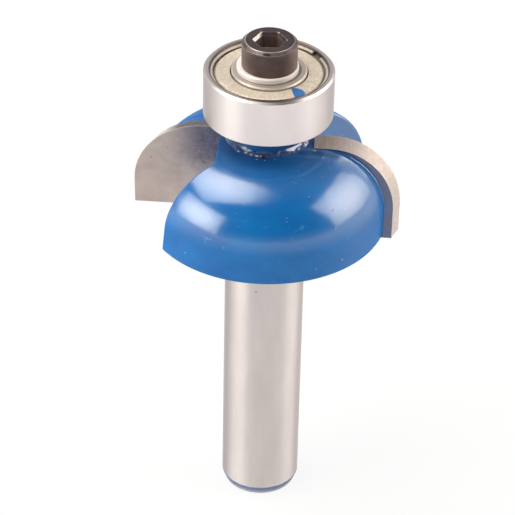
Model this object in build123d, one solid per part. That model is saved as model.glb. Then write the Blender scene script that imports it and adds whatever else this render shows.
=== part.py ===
from build123d import *
import os
from math import cos, radians, sin, sqrt, tan

os.makedirs("parts", exist_ok=True)

# A two-wing cove router bit with a guide bearing, standing on the end of its shank.
# Z is the axis of rotation, the origin is the middle of the shank's end, and the cutting
# faces of the carbide tips run along X. The bit turns anticlockwise seen from above.
# Lengths are in millimetres and angles in degrees.

# Shank
shank_diameter = 8.0
shank_length = 33.2
end_chamfer_width = 0.3
end_chamfer_height = 0.8
neck_fillet = 0.6

# Head: a straight skirt, a dome above it that ends in a level crown, and a collar
head_diameter = 24.0
head_height = 9.4
crown_diameter = 11.0
skirt_edge_round = 0.25
collar_diameter = 7.2
collar_root_fillet = 0.45
seat_height = 12.0

# Wings and the gullets between them
wing_count = 2
core_half_width = 4.65
heel_angle = 36.2
heel_lean = 8.5
heel_edge_round = 0.25

# Carbide tips, each a plate brazed to the front of its wing
cutting_diameter = 26.6
tip_thickness = 1.65
tip_height = 9.95
relief_angle = 21.0
shear_angle = 5.2
rake_setback = 1.1

# Guide bearing
bearing_diameter = 12.7
bearing_bore = 4.762
bearing_width = 4.978
bearing_chamfer = 0.2
bore_chamfer = 0.2
ball_count = 7
ball_diameter = 2.381
ball_pitch_diameter = 8.73
land_offset = 0.685
ball_running_clearance = 0.015
land_edge_bevel = 0.12

# Shields and the split wires that hold them
shield_thickness = 0.2
shield_recess = 0.28
shield_dish = 0.27
shield_flat_diameter = 10.32
shield_shoulder_round = 0.4
shield_gap = 0.12
wire_diameter = 0.36
wire_ring_diameter = 11.22
wire_clearance = 0.01
wire_gap_angle = 38.0
wire_gap_width = 13.0
mouth_diameter = 11.44
shield_rim_clearance = 0.02

# Cage of two stamped halves
cage_thickness = 0.18
cage_land_clearance = 0.16
pocket_clearance = 0.04

# Spigot, screw and washer
spigot_clearance = 0.01
spigot_shortfall = 0.28
spigot_chamfer = 0.25
thread_diameter = 3.0
thread_clearance = 0.02
tapped_depth = 9.5
drill_point_angle = 118.0
screw_length = 8.0
screw_end_chamfer = 0.35
screw_head_diameter = 5.4
screw_head_height = 2.72
head_bevel_width = 0.32
head_bevel_height = 0.3
socket_across_flats = 2.5
socket_mouth_across_flats = 2.92
socket_mouth_depth = 0.3
socket_depth = 1.6
socket_turn = 4.0
washer_diameter = 6.0
washer_hole_diameter = 3.4
washer_thickness = 0.5
washer_edge_round = 0.12
washer_drift_x = -0.15
washer_drift_y = 0.04

# Sizes and levels that follow from those above
shank_radius = shank_diameter / 2
head_radius = head_diameter / 2
dome_radius = (head_diameter - crown_diameter) / 2
collar_radius = collar_diameter / 2
crown_top = shank_length + head_height
seat_level = shank_length + seat_height
bearing_radius = bearing_diameter / 2
half_width = bearing_width / 2
bearing_middle = seat_level + half_width
bearing_top = seat_level + bearing_width
bore_radius = bearing_bore / 2
spigot_radius = bore_radius - spigot_clearance
spigot_top = bearing_top - spigot_shortfall
ball_radius = ball_diameter / 2
pitch_radius = ball_pitch_diameter / 2
inner_land_radius = pitch_radius - land_offset
outer_land_radius = pitch_radius + land_offset
groove_radius = ball_radius + ball_running_clearance
ball_step = 360 / ball_count
wing_step = 360 / wing_count
wire_radius = wire_diameter / 2
wire_ring_radius = wire_ring_diameter / 2
mouth_radius = mouth_diameter / 2
flange_level = half_width - shield_recess - shield_dish
wire_level = flange_level + wire_radius
cutting_radius = cutting_diameter / 2
cove_radius = cutting_radius - bearing_radius
edge_reach = sqrt(cutting_radius**2 - rake_setback**2)
thread_radius = thread_diameter / 2
washer_top = bearing_top + washer_thickness
beyond = head_diameter
touching = 0.001


def block(low_x, high_x, low_y, high_y):
    """A rectangle of a sketch between two corners."""
    middle = Pos((low_x + high_x) / 2, (low_y + high_y) / 2)
    return middle * Rectangle(high_x - low_x, high_y - low_y)


def corner(section, x, y):
    """The corner of a sketch that lies nearest to a point."""
    return section.vertices().sort_by_distance((x, y, 0))[0]


def spun(section):
    """A half section, drawn as radius and height, turned about Z."""
    return revolve(Plane.XZ * section, Axis.Z)


def section_face(*points):
    """A straight-sided half section through the given points."""
    return make_face(Polyline(*points, close=True))


def shank_section():
    return section_face(
        (0, 0),
        (shank_radius - end_chamfer_width, 0),
        (shank_radius, end_chamfer_height),
        (shank_radius, crown_top),
        (0, crown_top),
    )


def head_section():
    """Skirt, dome and level crown, as one half section."""
    section = block(0, head_radius, shank_length, crown_top)
    section = fillet(corner(section, head_radius, crown_top), dome_radius)
    return fillet(corner(section, head_radius, shank_length), skirt_edge_round)


def turned_blank():
    """The body as it leaves the lathe, before the gullets are milled."""
    section = shank_section() + head_section()
    section += block(0, collar_radius, shank_length, seat_level)
    section += block(0, spigot_radius, shank_length, spigot_top)
    section = fillet(corner(section, shank_radius, shank_length), neck_fillet)
    section = fillet(corner(section, collar_radius, crown_top), collar_root_fillet)
    section = chamfer(corner(section, spigot_radius, spigot_top), spigot_chamfer)
    return spun(section)


def tapped_hole():
    """The hole for the screw, down from the spigot's end to a drill point."""
    radius = thread_radius
    floor = spigot_top - tapped_depth
    point = floor - radius / tan(radians(drill_point_angle / 2))
    return spun(section_face((0, point), (radius, floor), (radius, spigot_top), (0, spigot_top)))


def rake_plane():
    """The front face of the first tip: X runs outward and Y up the leaning face."""
    lean = radians(shear_angle)
    return Plane(
        origin=(0, -rake_setback, shank_length),
        x_dir=(1, 0, 0),
        z_dir=(0, -cos(lean), sin(lean)),
    )


def tip_outline(inset, drop):
    """A tip's outline, drawn in by the relief and dropped to a level underside."""
    reach = edge_reach - inset
    arc_middle = edge_reach - cove_radius
    straight = tip_height - cove_radius
    top = tip_height - inset
    edge = Line((core_half_width, -drop), (reach, -drop))
    edge += Line((reach, -drop), (reach, straight))
    edge += CenterArc((arc_middle, straight), cove_radius - inset, 0, 90)
    edge += Line((arc_middle, top), (core_half_width, top))
    edge += Line((core_half_width, top), (core_half_width, -drop))
    return make_face(edge)


def carbide_tip():
    """The first tip: its front outline is the cutting edge, its back one is relieved."""
    front = rake_plane()
    back = front.offset(tip_thickness)
    inset = tip_thickness * tan(radians(relief_angle))
    drop = tip_thickness * tan(radians(shear_angle))
    return loft([front * tip_outline(0, 0), back * tip_outline(inset, drop)], ruled=True)


def heel_plane():
    """The heel behind the first gullet, a plane through the axis at the head's underside."""
    direction = radians(heel_angle)
    lean = radians(heel_lean)
    return Plane(
        origin=(0, 0, shank_length),
        x_dir=(cos(direction), sin(direction), 0),
        z_dir=(-sin(direction) * cos(lean), cos(direction) * cos(lean), -sin(lean)),
    )


def gullet():
    """The open space before the first tip, between its seat, the core and the next wing's heel."""
    size = 2 * beyond
    ahead = Box(size, size, beyond, align=(Align.CENTER, Align.CENTER, Align.MAX))
    outside = Box(beyond, size, size, align=(Align.MIN, Align.CENTER, Align.CENTER))
    seat = rake_plane().offset(tip_thickness)
    return seat * ahead & heel_plane() * ahead & Pos(core_half_width, 0, shank_length) * outside


def on_heel(edge, turn):
    """True for an edge that runs up the skirt and over the dome along one heel."""
    heel = heel_plane()
    points = [edge.position_at(share).rotate(Axis.Z, -turn) for share in (0.1, 0.5, 0.9)]
    flush = all(abs(heel.to_local_coords(point).Z) < touching for point in points)
    outside = all(point.X > core_half_width + touching for point in points)
    return flush and outside and points[1].Z > shank_length + touching


def cutter_body():
    """Turned blank with a gullet, a rounded heel and a tip's seat for each wing."""
    body = turned_blank() - tapped_hole()
    turns = [wing * wing_step for wing in range(wing_count)]
    for turn in turns:
        body -= Rot(0, 0, turn) * gullet()
    heels = [edge for edge in body.edges() if any(on_heel(edge, turn) for turn in turns)]
    body = fillet(heels, heel_edge_round)
    for turn in turns:
        body -= Rot(0, 0, turn) * carbide_tip()
    return body


def bearing_outer_ring():
    """Outer ring about its own middle, open at both ends for the shields."""
    section = block(outer_land_radius, bearing_radius, -half_width, half_width)
    section = chamfer(
        [corner(section, bearing_radius, level) for level in (-half_width, half_width)],
        bearing_chamfer,
    )
    for side in (-1, 1):
        floor = side * (flange_level - shield_thickness)
        face = side * half_width
        low, high = sorted((floor, face))
        section -= block(outer_land_radius, mouth_radius, low, high)
        section -= Pos(wire_ring_radius, side * wire_level) * Circle(wire_radius + wire_clearance)
    section -= Pos(pitch_radius, 0) * Circle(groove_radius)
    return spun(section)


def bearing_inner_ring():
    """Inner ring about its own middle."""
    section = block(bore_radius, inner_land_radius, -half_width, half_width)
    for level in (-half_width, half_width):
        section = chamfer(corner(section, bore_radius, level), bore_chamfer)
        section = chamfer(corner(section, inner_land_radius, level), land_edge_bevel)
    section -= Pos(pitch_radius, 0) * Circle(groove_radius)
    return spun(section)


def shield():
    """Upper shield: a flat that lies near the face, dished down to a flange under the wire."""
    inner = inner_land_radius + shield_gap
    flat = shield_flat_diameter / 2
    step = flat + shield_dish / 2
    rim = mouth_radius - shield_rim_clearance
    top = half_width - shield_recess
    underside = top - shield_thickness
    section = section_face(
        (inner, top),
        (flat, top),
        (step, flange_level),
        (rim, flange_level),
        (rim, flange_level - shield_thickness),
        (step - shield_thickness / 2, flange_level - shield_thickness),
        (flat - shield_thickness / 2, underside),
        (inner, underside),
    )
    section = fillet(corner(section, flat, top), shield_shoulder_round)
    inside_round = shield_shoulder_round - shield_thickness
    return spun(fillet(corner(section, flat - shield_thickness / 2, underside), inside_round))


def snap_wire():
    """Upper split wire: a round section turned most of the way round."""
    start = wire_gap_angle + wire_gap_width / 2
    section = Pos(wire_ring_radius, wire_level) * Circle(wire_radius)
    return Rot(0, 0, start) * revolve(Plane.XZ * section, Axis.Z, 360 - wire_gap_width)


def ball_places():
    return [Rot(0, 0, number * ball_step) * Pos(pitch_radius, 0, 0) for number in range(ball_count)]


def cage_half():
    """Upper half of the ribbon cage: flats between the balls, a domed pocket over each."""
    inner = inner_land_radius + cage_land_clearance
    outer = outer_land_radius - cage_land_clearance
    hollow = ball_radius + pocket_clearance
    band = Cylinder(outer, half_width, align=(Align.CENTER, Align.CENTER, Align.MIN))
    band -= Cylinder(inner, half_width, align=(Align.CENTER, Align.CENTER, Align.MIN))
    flats = Cylinder(outer, cage_thickness, align=(Align.CENTER, Align.CENTER, Align.MIN))
    for place in ball_places():
        flats += place * Sphere(hollow + cage_thickness)
    cage = band & flats
    for place in ball_places():
        cage -= place * Sphere(hollow)
    return cage


def screw_washer():
    """Thin washer that clamps the inner ring; it hangs a little off centre."""
    section = block(washer_hole_diameter / 2, washer_diameter / 2, bearing_top, washer_top)
    section = fillet(corner(section, washer_diameter / 2, washer_top), washer_edge_round)
    return Pos(washer_drift_x, washer_drift_y, 0) * spun(section)


def cap_screw():
    """Socket-head screw with a bevelled rim."""
    radius = thread_radius - thread_clearance
    head = screw_head_diameter / 2
    end = washer_top - screw_length
    top = washer_top + screw_head_height
    screw = spun(section_face(
        (0, end),
        (radius - screw_end_chamfer, end),
        (radius, end + screw_end_chamfer),
        (radius, washer_top),
        (head, washer_top),
        (head, top - head_bevel_height),
        (head - head_bevel_width, top),
        (0, top),
    ))
    face = Plane.XY.offset(top) * Rot(0, 0, socket_turn)
    socket = RegularPolygon(socket_across_flats / 2, 6, major_radius=False)
    mouth = RegularPolygon(socket_mouth_across_flats / 2, 6, major_radius=False)
    screw -= extrude(face * socket, -socket_depth)
    narrow = Plane.XY.offset(top - socket_mouth_depth) * Rot(0, 0, socket_turn) * socket
    screw -= loft([narrow, face * mouth], ruled=True)
    return screw


def save(shape, name):
    export_step(shape, "parts/" + name + ".step")


save(cutter_body(), "cutter_body")
for wing in range(wing_count):
    save(Rot(0, 0, wing * wing_step) * carbide_tip(), "carbide_tip_" + str(wing + 1))

middle = Pos(0, 0, bearing_middle)
save(middle * bearing_inner_ring(), "bearing_inner_ring")
save(middle * bearing_outer_ring(), "bearing_outer_ring")
for number, place in enumerate(ball_places()):
    save(middle * place * Sphere(ball_radius), "bearing_ball_" + str(number + 1))

upper_pieces = (("shield", shield()), ("snap_wire", snap_wire()), ("cage", cage_half()))
for name, upper in upper_pieces:
    save(middle * upper, name + "_upper")
    save(middle * mirror(upper, Plane.XY), name + "_lower")

save(screw_washer(), "screw_washer")
save(cap_screw(), "cap_screw")
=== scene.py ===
import math

import bpy
from mathutils import Matrix, Vector, noise
from mathutils.bvhtree import BVHTree


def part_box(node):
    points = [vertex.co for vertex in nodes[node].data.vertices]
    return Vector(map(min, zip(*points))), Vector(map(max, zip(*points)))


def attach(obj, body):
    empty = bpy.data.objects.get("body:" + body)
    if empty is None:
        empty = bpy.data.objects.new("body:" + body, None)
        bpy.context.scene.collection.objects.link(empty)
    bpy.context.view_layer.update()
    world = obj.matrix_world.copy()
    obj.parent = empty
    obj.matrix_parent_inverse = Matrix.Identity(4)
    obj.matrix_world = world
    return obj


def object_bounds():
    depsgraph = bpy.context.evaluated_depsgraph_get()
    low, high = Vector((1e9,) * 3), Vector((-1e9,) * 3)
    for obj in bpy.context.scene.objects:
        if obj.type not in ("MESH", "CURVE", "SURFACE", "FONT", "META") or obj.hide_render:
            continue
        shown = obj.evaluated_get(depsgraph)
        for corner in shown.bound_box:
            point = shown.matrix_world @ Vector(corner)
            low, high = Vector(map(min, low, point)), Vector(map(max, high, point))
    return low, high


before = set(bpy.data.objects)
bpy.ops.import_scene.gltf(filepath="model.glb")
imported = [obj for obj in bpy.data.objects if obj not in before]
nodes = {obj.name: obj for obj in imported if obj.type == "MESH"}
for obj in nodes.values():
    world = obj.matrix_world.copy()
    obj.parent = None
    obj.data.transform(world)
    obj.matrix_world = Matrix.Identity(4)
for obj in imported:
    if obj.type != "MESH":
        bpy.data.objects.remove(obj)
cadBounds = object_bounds()
mm = 0.001
print("frame loaded:", len(nodes), "CAD nodes")

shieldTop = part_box("shield_upper")[1].z
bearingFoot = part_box("bearing_outer_ring")[0].z


# small helpers for shader trees

def emptyTree(owner):
    # the cleared shader tree of a material, a lamp or the world
    owner.use_nodes = True
    owner.node_tree.nodes.clear()
    return owner.node_tree


def setInputs(tree, node, values):
    # a socket among the values is linked, and anything else is set
    for key, value in values.items():
        if isinstance(value, bpy.types.NodeSocket):
            tree.links.new(value, node.inputs[key])
        else:
            node.inputs[key].default_value = value


def addNode(tree, kind, inputs=None, **settings):
    made = tree.nodes.new(kind)
    for name, value in settings.items():
        setattr(made, name, value)
    setInputs(tree, made, inputs or {})
    return made


def colour(red, green, blue):
    # a screen colour, 0 to 255, as the linear values that shaders use
    steps = [v / 255 for v in (red, green, blue)]
    linear = [v / 12.92 if v <= 0.04045 else ((v + 0.055) / 1.055) ** 2.4 for v in steps]
    return (*linear, 1.0)


def sums(tree, operation, first, second=0.0, clamp=False):
    made = addNode(tree, "ShaderNodeMath", {0: first, 1: second}, operation=operation, use_clamp=clamp)
    return made.outputs[0]


def times(tree, *factors):
    product = factors[0]
    for factor in factors[1:]:
        product = sums(tree, "MULTIPLY", product, factor)
    return product


def vectorSums(tree, operation, first, second=(0.0, 0.0, 0.0), output=0):
    made = addNode(tree, "ShaderNodeVectorMath", {0: first, 1: second}, operation=operation)
    return made.outputs[output]


def mixColours(tree, share, first, second):
    made = addNode(tree, "ShaderNodeMix", {0: share, 6: first, 7: second}, data_type="RGBA")
    return made.outputs[2]


def mixValues(tree, share, first, second):
    made = addNode(tree, "ShaderNodeMix", {0: share, 2: first, 3: second}, data_type="FLOAT")
    return made.outputs[0]


def between(tree, value, low, high, start=0.0, end=1.0):
    # start below low, end above high, a soft step between them
    made = addNode(tree, "ShaderNodeMapRange", {0: value, 1: low, 2: high, 3: start, 4: end},
                   interpolation_type="SMOOTHSTEP")
    return made.outputs[0]


def hump(tree, value, start, crest, end):
    return times(tree, between(tree, value, start, crest), between(tree, value, crest, end, 1.0, 0.0))


def noiseAt(tree, place, scale, detail, roughness=0.5):
    made = addNode(tree, "ShaderNodeTexNoise",
                   {"Vector": place, "Scale": scale, "Detail": detail, "Roughness": roughness})
    return made.outputs[0]


def placeInMillimetres(tree):
    place = addNode(tree, "ShaderNodeTexCoord").outputs["Object"]
    return addNode(tree, "ShaderNodeVectorMath", {0: place, "Scale": 1 / mm}, operation="SCALE").outputs[0]


def axes(tree, vector):
    return addNode(tree, "ShaderNodeSeparateXYZ", {0: vector}).outputs


def radiusOf(tree, vector):
    x, y = axes(tree, vector)[:2]
    return sums(tree, "SQRT", sums(tree, "ADD", times(tree, x, x), times(tree, y, y)))


def newGroup(name, inputs, output):
    # a node group with these inputs and their first values, and one value as its output
    tree = bpy.data.node_groups.new(name, "ShaderNodeTree")
    for label, start in inputs.items():
        kind = "NodeSocketVector" if isinstance(start, tuple) else "NodeSocketFloat"
        socket = tree.interface.new_socket(name=label, in_out="INPUT", socket_type=kind)
        socket.default_value = start
    tree.interface.new_socket(name=output, in_out="OUTPUT", socket_type="NodeSocketFloat")
    return tree, addNode(tree, "NodeGroupInput").outputs, addNode(tree, "NodeGroupOutput").inputs[0]


def useGroup(tree, group, **values):
    return addNode(tree, "ShaderNodeGroup", values, node_tree=group).outputs[0]


# surface effects that several materials share

def makeGrain():
    # streaks or grain: noise with about Stretch grains to the millimetre along each axis
    start = {"Stretch": (1.0, 1.0, 1.0), "Detail": 3.0, "Contrast": 1.0}
    tree, given, result = newGroup("grain", start, "Value")
    place = vectorSums(tree, "MULTIPLY", placeInMillimetres(tree), given["Stretch"])
    cloud = noiseAt(tree, place, 1.0, given["Detail"], 0.6)
    spread = times(tree, sums(tree, "SUBTRACT", cloud, 0.5), given["Contrast"])
    tree.links.new(sums(tree, "ADD", spread, 0.5, clamp=True), result)
    return tree


def makeTurning():
    # lathe and grinding marks round the axis, so many to the millimetre along the radius and the height
    tree, given, result = newGroup("turningMarks", {"Across": 6.0, "Along": 6.0, "Seed": 0.0}, "Value")
    place = placeInMillimetres(tree)
    ring = times(tree, radiusOf(tree, place), given["Across"])
    height = times(tree, axes(tree, place)[2], given["Along"])
    vector = addNode(tree, "ShaderNodeCombineXYZ", {0: ring, 1: height, 2: given["Seed"]}).outputs[0]
    tree.links.new(noiseAt(tree, vector, 1.0, 4.0, 0.65), result)
    return tree


def makeEdgeWear():
    # a mask on sharp edges: where the rounded normal leaves the flat one, broken up by noise
    tree, given, result = newGroup("edgeWear", {"Width": 0.12, "Amount": 1.0, "Breakup": 0.5}, "Mask")
    reach = times(tree, given["Width"], mm)
    rounded = addNode(tree, "ShaderNodeBevel", {"Radius": reach}, samples=6).outputs[0]
    flat = addNode(tree, "ShaderNodeNewGeometry").outputs["Normal"]
    facing = vectorSums(tree, "DOT_PRODUCT", rounded, flat, "Value")
    edge = between(tree, sums(tree, "SUBTRACT", 1.0, facing), 0.004, 0.09)
    cloud = noiseAt(tree, placeInMillimetres(tree), 1.7, 3.0)
    broken = mixValues(tree, given["Breakup"], 1.0, between(tree, cloud, 0.36, 0.62))
    tree.links.new(sums(tree, "MULTIPLY", times(tree, edge, broken), given["Amount"], clamp=True), result)
    return tree


def makeSpecks():
    # small round specks, Density of them to the millimetre, of which Share are there; Size is a share of
    # the distance between them
    tree, given, result = newGroup("specks", {"Density": 2.0, "Size": 0.2, "Share": 0.3}, "Mask")
    cells = addNode(tree, "ShaderNodeTexVoronoi",
                    {"Vector": placeInMillimetres(tree), "Scale": given["Density"]}).outputs
    chance = addNode(tree, "ShaderNodeSeparateColor", {0: cells["Color"]}).outputs
    there = sums(tree, "LESS_THAN", chance[0], given["Share"])
    size = times(tree, given["Size"], sums(tree, "ADD", times(tree, chance[1], 0.8), 0.2))
    dot = between(tree, sums(tree, "SUBTRACT", size, cells["Distance"]), 0.0, 0.05)
    tree.links.new(times(tree, dot, there), result)
    return tree


def makeScratches():
    # thin scratches: the level lines of a drawn-out noise, kept in patches
    start = {"Stretch": (0.5, 0.5, 0.5), "Width": 0.01, "Share": 0.4}
    tree, given, result = newGroup("scratches", start, "Mask")
    place = placeInMillimetres(tree)
    lines = noiseAt(tree, vectorSums(tree, "MULTIPLY", place, given["Stretch"]), 1.0, 1.0)
    off = sums(tree, "ABSOLUTE", sums(tree, "SUBTRACT", lines, 0.5))
    thin = between(tree, off, 0.0, given["Width"], 1.0, 0.0)
    edge = sums(tree, "SUBTRACT", 0.75, times(tree, given["Share"], 0.5))
    kept = between(tree, noiseAt(tree, place, 0.9, 2.0), edge, sums(tree, "ADD", edge, 0.04))
    tree.links.new(times(tree, thin, kept), result)
    return tree


grain = makeGrain()
turningMarks = makeTurning()
edgeWear = makeEdgeWear()
specks = makeSpecks()
scratches = makeScratches()
print("surface effects built")


# small helpers for materials

def newMaterial(name):
    material = bpy.data.materials.new(name)
    tree = emptyTree(material)
    shader = addNode(tree, "ShaderNodeBsdfPrincipled")
    addNode(tree, "ShaderNodeOutputMaterial", {"Surface": shader.outputs[0]})
    return material, tree, shader


def setShader(tree, shader, **values):
    setInputs(tree, shader, {label.replace("_", " "): value for label, value in values.items()})


def bumpFrom(tree, height, depth, below=None):
    # depth is the height of the relief in millimetres
    inputs = {"Strength": 1.0, "Distance": depth * mm, "Height": height}
    if below is not None:
        inputs["Normal"] = below
    return addNode(tree, "ShaderNodeBump", inputs).outputs[0]


def slantOf(tree):
    # 0 where the surface is seen face on, towards 1 where it is seen edge on
    return addNode(tree, "ShaderNodeLayerWeight").outputs["Facing"]


def upwardOf(tree):
    # 1 on a surface that faces up, 0 on an upright one
    return axes(tree, addNode(tree, "ShaderNodeNewGeometry").outputs["True Normal"])[2]


def tangentRound(tree):
    return addNode(tree, "ShaderNodeTangent", direction_type="RADIAL", axis="Z").outputs[0]


def dress(nodeNames, material):
    for name in nodeNames:
        slots = nodes[name].data.materials
        slots.clear()
        slots.append(material)


# the faces of the tips, which the paint and the grinding follow

def flatFace(name, towards):
    # the unit normal and the distance from the origin, in mm, of a node's widest face on one side
    found = {}
    for polygon in nodes[name].data.polygons:
        if polygon.normal.dot(towards) > 0.95:     # within about 18 degrees of that side
            key = tuple(round(v, 2) for v in polygon.normal)
            found.setdefault(key, []).append(polygon)
    widest = max(found.values(), key=lambda group: sum(p.area for p in group))
    normal = Vector()
    for polygon in widest:
        normal += polygon.normal * polygon.area
    normal.normalize()
    return normal, normal.dot(widest[0].center) / mm


rakeNormal, rakeOffset = flatFace("carbide_tip_1", Vector((0, 1, 0)))
backNormal, backOffset = flatFace("carbide_tip_1", Vector((0, -1, 0)))
tipThickness = abs(backOffset + rakeOffset)


# painted steel body

enamelFinish = {
    "paint": colour(8, 112, 186),
    "deepPaint": colour(12, 98, 170),
    "shadowPaint": colour(30, 92, 156),
    "shadowHeights": (41.2, 43.0),        # the shadow tone comes in between these, in mm
    # painted shade: the paint greyer and duller on the side of +X
    "sideShadePaint": colour(74, 112, 164),
    "sideShadeReach": (4.0, 12.0),             # the painted shade comes in between these, in mm along X
    # a paler blue along the edges
    "paleEdgePaint": colour(70, 130, 190),
    "ringPaint": colour(88, 114, 158),
    "dust": colour(150, 190, 226),
    "dustShare": 0.16,
    "steel": colour(224, 215, 212),
    "darkSteel": colour(192, 182, 177),
    "edgeOnSteelShade": colour(184, 174, 171),   # painted shade, where the surface is seen edge on
    "wornSteel": colour(238, 232, 228),
    "pit": colour(96, 88, 86),
    "paintFoot": 32.85,                   # the paint stops here on the shank, in mm above its end
    "endRing": (0.4, 0.95),               # a line of paint round the end chamfer, between these heights
    "coatRoughness": 0.16,
    "skirtGloss": 0.2,                    # the share of the gloss that is left below the skirt heights, in mm
    "skirtHeights": (36.2, 38.6),
    "crownGloss": 0.45,                   # and the share that is left above the crown heights, in mm
    "crownHeights": (42.1, 42.3),
    "edgeRound": 0.2,                     # mm
    "orangePeel": 0.006,
    # a ridge and a hollow along the back of each tip: where each starts, is strongest and ends, in mm from
    # the back of the tip; both fade in between the heights
    "seamRidge": (0.0, 0.45, 1.0),
    "seamHollow": (0.55, 1.25, 1.75),
    "seamHeights": (38.9, 40.4),
    "seamRelief": 0.2,
}


def paintColour(tree, x, z):
    # the colour of the paint, its slow drift in tone and the marks in it
    look = enamelFinish
    drift = useGroup(tree, grain, Stretch=(0.22, 0.22, 0.35), Detail=2.0, Contrast=2.4)
    tint = mixColours(tree, drift, look["paint"], look["deepPaint"])
    tint = mixColours(tree, between(tree, z, *look["shadowHeights"]), tint, look["shadowPaint"])
    # painted shade on the side of +X
    tint = mixColours(tree, between(tree, x, *look["sideShadeReach"], 0.0, 0.4), tint, look["sideShadePaint"])
    # a paler blue along the edges
    paleEdges = useGroup(tree, edgeWear, Width=0.22, Amount=0.35, Breakup=0.6)
    tint = mixColours(tree, paleEdges, tint, look["paleEdgePaint"])
    dust = useGroup(tree, specks, Density=1.25, Size=0.16, Share=look["dustShare"])
    fineDust = useGroup(tree, specks, Density=2.6, Size=0.12, Share=0.17)
    scuff = useGroup(tree, scratches, Stretch=(0.5, 0.45, 0.8), Width=0.006, Share=0.3)
    marks = sums(tree, "MAXIMUM", sums(tree, "MAXIMUM", dust, fineDust), times(tree, scuff, 0.5))
    tint = mixColours(tree, times(tree, marks, 0.7), tint, look["dust"])
    return tint, drift, marks


def seamSwelling(tree, x, y, z):
    look = enamelFinish
    turned = times(tree, y, sums(tree, "SIGN", x))     # both wings measured as if they were the first
    gap = sums(tree, "ADD", times(tree, turned, backNormal.y), times(tree, z, backNormal.z))
    gap = sums(tree, "SUBTRACT", gap, backOffset)
    ridge = hump(tree, gap, *look["seamRidge"])
    hollow = times(tree, hump(tree, gap, *look["seamHollow"]), 0.6)
    return times(tree, sums(tree, "SUBTRACT", ridge, hollow), between(tree, z, *look["seamHeights"]))


def paintRelief(tree, swelling, marks):
    look = enamelFinish
    peel = useGroup(tree, grain, Stretch=(1.5, 1.5, 1.5), Detail=2.0, Contrast=1.0)
    rounded = addNode(tree, "ShaderNodeBevel", {"Radius": look["edgeRound"] * mm}, samples=6).outputs[0]
    relief = bumpFrom(tree, peel, look["orangePeel"], rounded)
    relief = bumpFrom(tree, swelling, look["seamRelief"], relief)
    return bumpFrom(tree, marks, 0.012, relief)


def paintGloss(tree, z, slant):
    look = enamelFinish
    skirt = between(tree, z, *look["skirtHeights"], look["skirtGloss"], 1.0)
    faceOn = between(tree, slant, 0.42, 0.68, 1.0, 0.1)
    crown = between(tree, z, *look["crownHeights"], 1.0, look["crownGloss"])
    return times(tree, skirt, faceOn, crown)


def paintCover(tree, z):
    # where the body is painted, and the line round its end by itself
    look = enamelFinish
    ragged = useGroup(tree, grain, Stretch=(1.3, 1.3, 1.3), Detail=3.0, Contrast=1.0)
    edge = sums(tree, "ADD", z, times(tree, sums(tree, "SUBTRACT", ragged, 0.5), 0.16))
    above = between(tree, edge, look["paintFoot"], look["paintFoot"] + 0.05)
    low, high = look["endRing"]
    ring = times(tree, between(tree, edge, low - 0.1, low + 0.1, 0.35, 0.85),
                 between(tree, edge, high - 0.06, high + 0.03, 1.0, 0.0))
    return sums(tree, "MAXIMUM", above, ring), ring


def bareShank(tree, slant):
    # colour, relief and roughness of the ground shank
    look = enamelFinish
    coarse = useGroup(tree, turningMarks, Across=5.0, Along=7.0, Seed=2.0)
    fine = useGroup(tree, turningMarks, Across=16.0, Along=24.0, Seed=5.0)
    cloudy = useGroup(tree, grain, Stretch=(0.5, 0.5, 0.12), Detail=3.0, Contrast=1.4)
    bare = mixColours(tree, times(tree, cloudy, 0.6), look["steel"], look["darkSteel"])
    pits = useGroup(tree, specks, Density=1.1, Size=0.1, Share=0.12)
    bare = mixColours(tree, times(tree, pits, 0.6), bare, look["pit"])
    worn = useGroup(tree, edgeWear, Width=0.15, Amount=0.7, Breakup=0.3)
    bare = mixColours(tree, worn, bare, look["wornSteel"])
    # painted shade: the bare steel darker where it is seen edge on
    bare = mixColours(tree, between(tree, slant, 0.48, 0.74), bare, look["edgeOnSteelShade"])
    relief = bumpFrom(tree, fine, 0.0012, bumpFrom(tree, coarse, 0.002))
    return bare, relief, mixValues(tree, fine, 0.3, 0.37)


def makeEnamel(painted):
    # painted: True for a piece that is all paint, False for the body with its bare shank
    look = enamelFinish
    material, tree, shader = newMaterial("enamel" if painted else "enamelAndSteel")
    x, y, z = axes(tree, placeInMillimetres(tree))
    slant = slantOf(tree)
    tint, drift, marks = paintColour(tree, x, z)
    relief = paintRelief(tree, seamSwelling(tree, x, y, z), marks)
    gloss = paintGloss(tree, z, slant)
    setShader(tree, shader, Coat_Roughness=look["coatRoughness"], Coat_IOR=2.0, Specular_IOR_Level=0.1)
    if painted:
        setShader(tree, shader, Base_Color=tint, Roughness=mixValues(tree, drift, 0.38, 0.48),
                  Coat_Weight=gloss, Normal=relief)
        return material

    cover, ring = paintCover(tree, z)
    tint = mixColours(tree, ring, tint, look["ringPaint"])
    bare, steelRelief, steelRough = bareShank(tree, slant)
    both = addNode(tree, "ShaderNodeMix", {0: cover, 4: steelRelief, 5: relief}, data_type="VECTOR")
    setShader(tree, shader, Base_Color=mixColours(tree, cover, bare, tint),
              Metallic=sums(tree, "SUBTRACT", 1.0, cover),
              Roughness=mixValues(tree, cover, steelRough, 0.42), Coat_Weight=times(tree, cover, gloss),
              Anisotropic=0.9, Anisotropic_Rotation=0.25, Normal=both.outputs[1],
              Tangent=tangentRound(tree))
    return material


enamel = makeEnamel(True)
dress(["cutter_body"], makeEnamel(False))
print("body painted")


# carbide tips

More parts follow.
